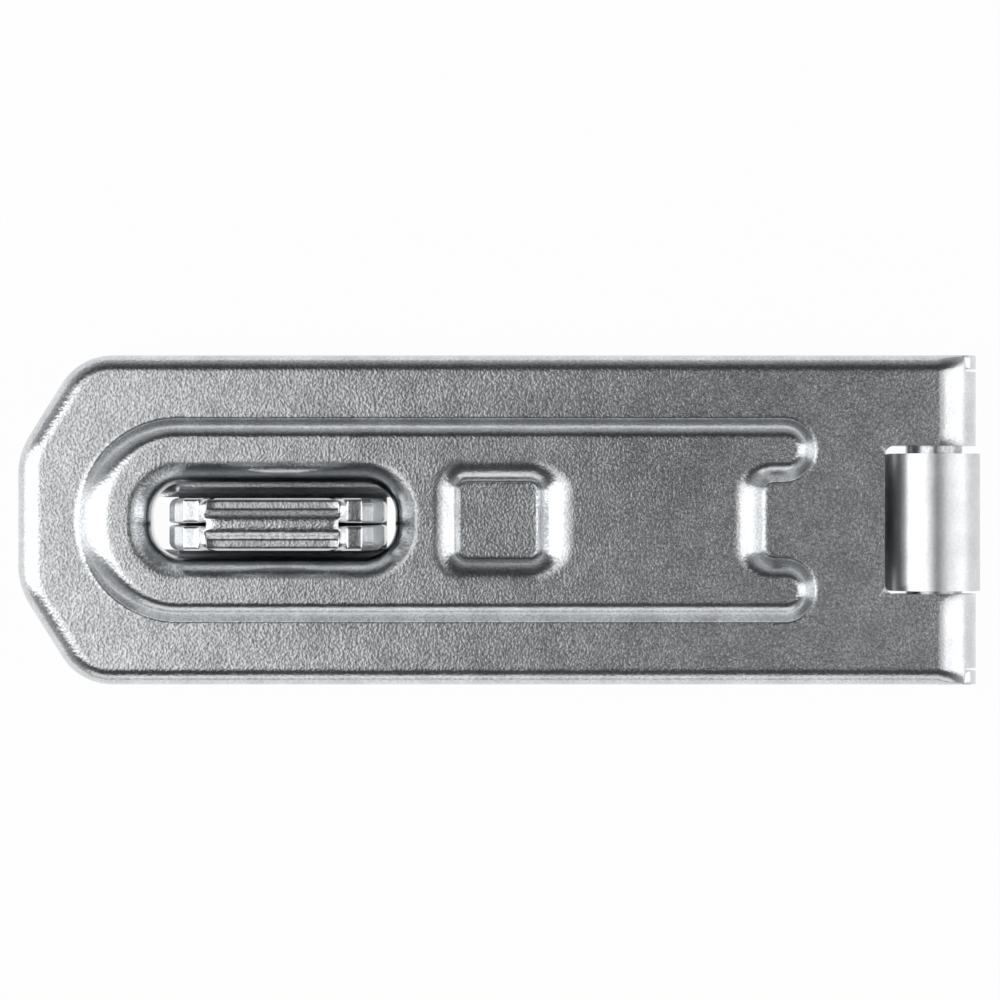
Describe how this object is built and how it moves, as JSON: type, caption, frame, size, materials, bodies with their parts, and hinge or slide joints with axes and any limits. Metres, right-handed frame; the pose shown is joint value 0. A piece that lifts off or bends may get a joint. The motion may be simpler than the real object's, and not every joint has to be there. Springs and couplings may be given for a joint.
{
  "type": "hasp and staple",
  "caption": "Pressed hasp strap with a slotted raised panel, swinging on a hidden pin and hinge leaf, closed over a folded staple with a round padlock eye.",
  "frame": {"origin": "under the middle of the closed set, on the plane of the door and frame that the leaf and the staple are screwed to", "axes": "+X towards the hinge, -X towards the nose; +Y along the hinge pin; +Z out of the door"},
  "size_m": [0.08, 0.0274, 0.0216],
  "materials": {
    "zinc_plate": "bright zinc plate over pressed steel, with a fine rolled grain",
    "bright_steel": "smooth drawn steel rod"
  },
  "bodies": {
    "frame_side": {"staple": "zinc_plate"},
    "door_side": {"hinge_leaf": "zinc_plate"},
    "strap": {"hasp_strap": "zinc_plate", "hinge_pin": "bright_steel"}
  },
  "joints": [
    {"name": "door_draw", "type": "slide", "parent": "frame_side", "child": "door_side", "axis": [0, 0, 1], "range_m": [0, 0.024]},
    {"name": "strap_hinge", "type": "hinge", "parent": "door_side", "child": "strap", "pos_m": [0.03617, 0, 0.00383], "axis": [0, 1, 0], "range_deg": [0, 170]}
  ]
}
